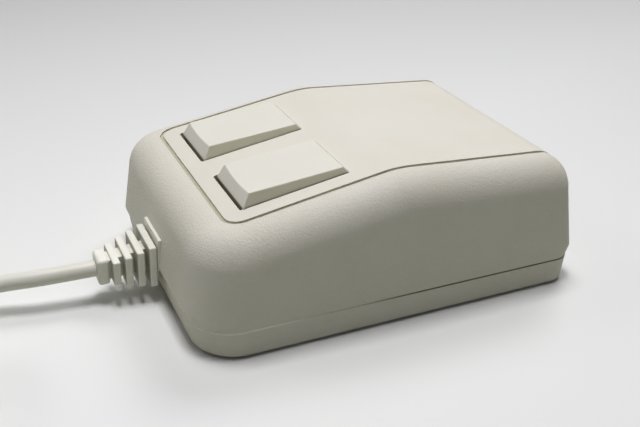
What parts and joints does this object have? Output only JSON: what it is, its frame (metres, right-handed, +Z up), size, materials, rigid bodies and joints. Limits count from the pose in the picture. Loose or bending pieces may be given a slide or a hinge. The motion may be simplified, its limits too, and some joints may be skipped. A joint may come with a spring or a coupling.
{
  "type": "computer mouse",
  "caption": "Wedge-backed ball mouse with two raised keys in a grooved panel, a finned strain relief and a coiled cord that ends in a nine-way plug.",
  "frame": {"origin": "on the desk, under the middle of the case (the strain relief and the cord are not counted)", "axes": "+X to the user's right, +Y away from the user along the cord, +Z up"},
  "size_m": [0.0982, 0.2072, 0.0362],
  "materials": {
    "case_plastic": "fine moulded grain, satin panel",
    "key_plastic": "satin",
    "foot_plastic": "slippery, satin",
    "steel": "plain zinc",
    "ball_steel": "plain",
    "ball_rubber": "matt",
    "cage_plastic": "satin",
    "wheel_plastic": "matt",
    "idler_plastic": "satin",
    "switch_plastic": "satin",
    "plunger_plastic": "satin",
    "board": "solder mask",
    "chip_plastic": "matt",
    "solder": "tinned",
    "resistor": "lacquered",
    "capacitor": "sleeved",
    "header_plastic": "satin",
    "wire": "satin",
    "emitter_plastic": "clear tinted",
    "detector_plastic": "dark tinted",
    "cord_rubber": "satin",
    "boot_rubber": "satin",
    "tie_plastic": "satin",
    "hood_plastic": "satin",
    "plug_steel": "tin plated",
    "insert_plastic": "satin",
    "contact_brass": "plated"
  },
  "bodies": {
    "case": {"upper_case": "case_plastic", "base_cover": "case_plastic", "glide_feet": "foot_plastic", "case_screws": "steel", "button_hinge_pins": "steel", "left_switch_body": "switch_plastic", "right_switch_body": "switch_plastic", "switch_leads": "solder", "circuit_board": "board", "board_screws": "steel", "signal_chip": "chip_plastic", "chip_leads": "solder", "resistors": "resistor", "capacitor": "capacitor", "cable_header": "header_plastic", "cable_header_plug": "header_plastic", "inner_leads": "wire", "roller_frame": "cage_plastic", "x_infrared_emitter": "emitter_plastic", "x_infrared_detector": "detector_plastic", "y_infrared_emitter": "emitter_plastic", "y_infrared_detector": "detector_plastic", "idler_pivot_pin": "steel", "idler_spring": "steel", "strain_relief": "boot_rubber", "cable": "cord_rubber", "cable_coil": "cord_rubber", "cable_tail": "cord_rubber", "cable_tie": "tie_plastic", "plug_hood": "hood_plastic", "plug_shell": "plug_steel", "plug_insert": "insert_plastic", "plug_contacts": "contact_brass"},
    "left_key": {"left_button": "key_plastic"},
    "right_key": {"right_button": "key_plastic"},
    "left_plunger": {"left_switch_plunger": "plunger_plastic"},
    "right_plunger": {"right_switch_plunger": "plunger_plastic"},
    "ball": {"ball_core": "ball_steel", "ball_coating": "ball_rubber"},
    "x_encoder": {"x_encoder_shaft": "steel", "x_encoder_wheel": "wheel_plastic"},
    "y_encoder": {"y_encoder_shaft": "steel", "y_encoder_wheel": "wheel_plastic"},
    "idler_arm": {"idler_arm": "cage_plastic", "idler_axle": "steel"},
    "idler": {"idler_roller": "idler_plastic"},
    "ring": {"ball_retaining_ring": "case_plastic"}
  },
  "joints": [
    {"name": "left_key_press", "type": "hinge", "parent": "case", "child": "left_key", "pos_m": [-0.01285, 0.00528, 0.03042], "axis": [-1, 0, 0], "range_deg": [0, 1.8], "stiffness_Nm_per_rad": 0.3, "springref_deg": -1.15},
    {"name": "left_plunger_slide", "type": "slide", "parent": "case", "child": "left_plunger", "axis": [0, 0, -1], "range_m": [0, 0.0007]},
    {"name": "right_key_press", "type": "hinge", "parent": "case", "child": "right_key", "pos_m": [0.01285, 0.00528, 0.03042], "axis": [-1, 0, 0], "range_deg": [0, 1.8], "stiffness_Nm_per_rad": 0.3, "springref_deg": -1.15},
    {"name": "right_plunger_slide", "type": "slide", "parent": "case", "child": "right_plunger", "axis": [0, 0, -1], "range_m": [0, 0.0007]},
    {"name": "ball_roll", "type": "hinge", "parent": "case", "child": "ball", "pos_m": [0, -0.014, 0.012], "axis": [0.7071, 0.7071, 0], "continuous": true},
    {"name": "x_encoder_spin", "type": "hinge", "parent": "case", "child": "x_encoder", "pos_m": [0, 0.0001, 0.012], "axis": [1, 0, 0], "continuous": true},
    {"name": "y_encoder_spin", "type": "hinge", "parent": "case", "child": "y_encoder", "pos_m": [-0.0141, -0.014, 0.012], "axis": [0, 1, 0], "continuous": true},
    {"name": "idler_arm_swing", "type": "hinge", "parent": "case", "child": "idler_arm", "pos_m": [0.01669, -0.01867, 0.012], "axis": [0, 0, 1], "range_deg": [0, 6], "stiffness_Nm_per_rad": 0.01, "springref_deg": -17.19},
    {"name": "idler_spin", "type": "hinge", "parent": "idler_arm", "child": "idler", "pos_m": [0.01068, -0.02468, 0.012], "axis": [0.7071, 0.7071, 0], "continuous": true},
    {"name": "ring_twist", "type": "hinge", "parent": "case", "child": "ring", "pos_m": [0, -0.014, 0.0006], "axis": [0, 0, 1], "range_deg": [0, 45]}
  ],
  "couplings": [
    {"joint": "left_plunger_slide", "follows": "left_key_press", "m_per_rad": 0.021722},
    {"joint": "right_plunger_slide", "follows": "right_key_press", "m_per_rad": 0.021722},
    {"joint": "x_encoder_spin", "follows": "ball_roll", "ratio": -4.2426},
    {"joint": "y_encoder_spin", "follows": "ball_roll", "ratio": -4.2426},
    {"joint": "idler_spin", "follows": "ball_roll", "ratio": -4}
  ]
}
